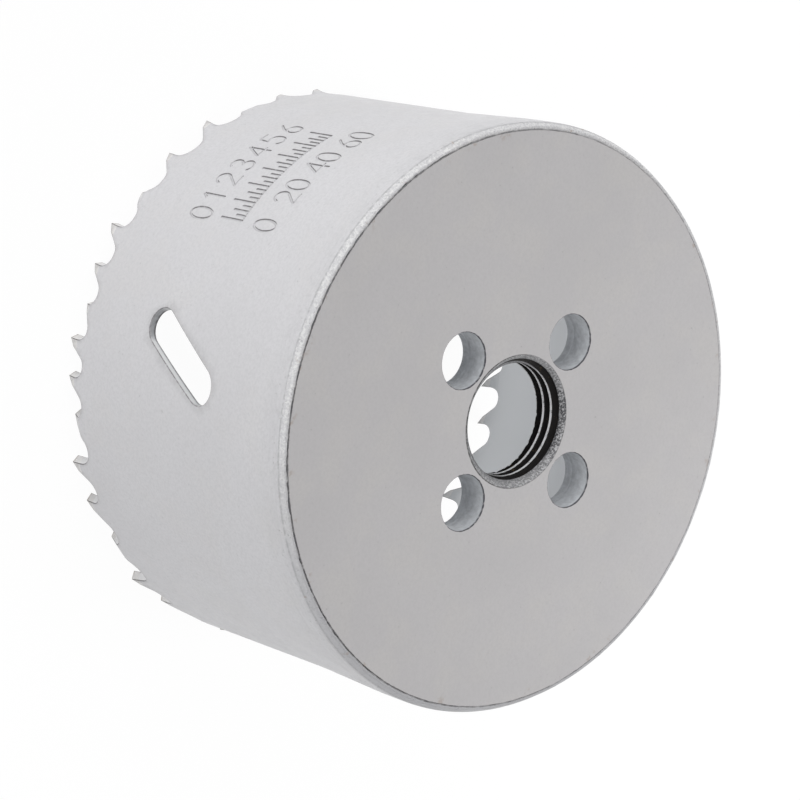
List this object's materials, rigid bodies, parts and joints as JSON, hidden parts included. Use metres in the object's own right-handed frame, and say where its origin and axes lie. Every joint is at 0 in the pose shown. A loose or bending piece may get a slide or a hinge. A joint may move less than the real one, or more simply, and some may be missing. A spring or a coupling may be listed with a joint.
{
  "type": "hole saw",
  "caption": "Bi-metal hole saw: a toothed, slotted steel cup welded round a thick threaded end plate with drive pin holes.",
  "frame": {"origin": "on the saw's axis, in the plane of the tooth tips, on which it stands", "axes": "+Z along the saw's axis, from the teeth to the end plate and the arbor; +X through one of the drive pin holes"},
  "size_m": [0.075, 0.075, 0.0445],
  "materials": {
    "shell_enamel": "thin white enamel, semi-gloss",
    "tip_steel": "thin white enamel, worn at the cutting edges",
    "plate_enamel": "thin white enamel over a turned face, bare steel in the bore"
  },
  "bodies": {
    "root": {"saw_shell": "shell_enamel", "tooth_tips": "tip_steel", "end_plate": "plate_enamel"}
  },
  "joints": []
}
